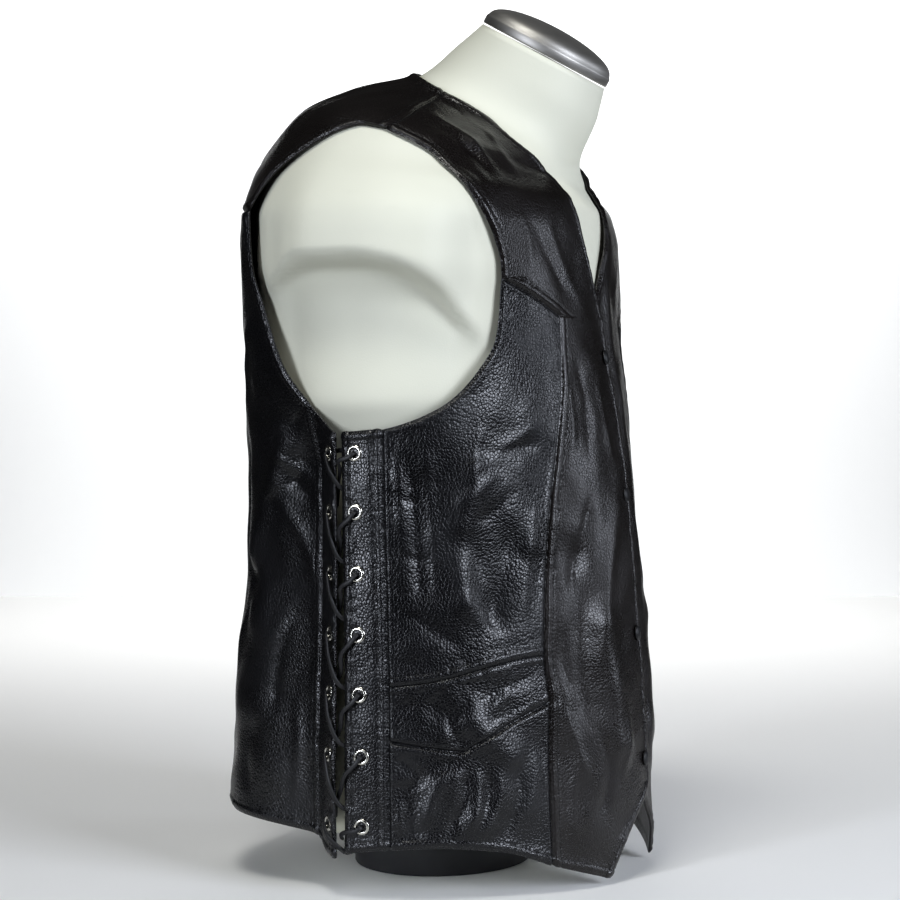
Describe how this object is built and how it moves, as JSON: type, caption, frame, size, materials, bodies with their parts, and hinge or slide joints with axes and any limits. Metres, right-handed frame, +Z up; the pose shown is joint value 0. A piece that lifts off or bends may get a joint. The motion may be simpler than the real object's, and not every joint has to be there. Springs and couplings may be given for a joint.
{
  "type": "leather vest on dress form",
  "caption": "Side laced leather vest with a V neck and pointed front hem, worn by a limbless torso form with a metal neck cap.",
  "frame": {"origin": "middle of the flat underside of the form's foot", "axes": "+Z up along the body, -Y out of the front of the vest, -X to the wearer's right"},
  "size_m": [0.43, 0.3614, 0.7385],
  "materials": {
    "grain_leather": "pebbled, semi gloss",
    "smooth_leather": "fine grain, semi gloss",
    "lace_leather": "round thong, satin",
    "nickel": "polished nickel plate",
    "snap_enamel": "black baked enamel, glossy",
    "form_cover": "cream smooth cover",
    "cap_metal": "brushed",
    "foot_plastic": "matte"
  },
  "bodies": {
    "root": {"back_yoke": "smooth_leather", "back_panel": "grain_leather", "front_main_right": "smooth_leather", "side_front_upper_right": "grain_leather", "pocket_welt_right": "grain_leather", "side_front_lower_right": "grain_leather", "lace_strip_front_right": "grain_leather", "lace_strip_back_right": "grain_leather", "front_main_left": "smooth_leather", "side_front_upper_left": "grain_leather", "pocket_welt_left": "grain_leather", "side_front_lower_left": "grain_leather", "lace_strip_front_left": "grain_leather", "lace_strip_back_left": "grain_leather", "side_lace_right": "lace_leather", "side_lace_left": "lace_leather", "eyelet_front_right_1": "nickel", "eyelet_front_right_2": "nickel", "eyelet_front_right_3": "nickel", "eyelet_front_right_4": "nickel", "eyelet_front_right_5": "nickel", "eyelet_front_right_6": "nickel", "eyelet_front_right_7": "nickel", "eyelet_back_right_1": "nickel", "eyelet_back_right_2": "nickel", "eyelet_back_right_3": "nickel", "eyelet_back_right_4": "nickel", "eyelet_back_right_5": "nickel", "eyelet_back_right_6": "nickel", "eyelet_back_right_7": "nickel", "eyelet_front_left_1": "nickel", "eyelet_front_left_2": "nickel", "eyelet_front_left_3": "nickel", "eyelet_front_left_4": "nickel", "eyelet_front_left_5": "nickel", "eyelet_front_left_6": "nickel", "eyelet_front_left_7": "nickel", "eyelet_back_left_1": "nickel", "eyelet_back_left_2": "nickel", "eyelet_back_left_3": "nickel", "eyelet_back_left_4": "nickel", "eyelet_back_left_5": "nickel", "eyelet_back_left_6": "nickel", "eyelet_back_left_7": "nickel", "snap_1": "snap_enamel", "snap_2": "snap_enamel", "snap_3": "snap_enamel", "snap_4": "snap_enamel", "form_torso": "form_cover", "form_neck_cap": "cap_metal", "form_foot": "foot_plastic"}
  },
  "joints": []
}
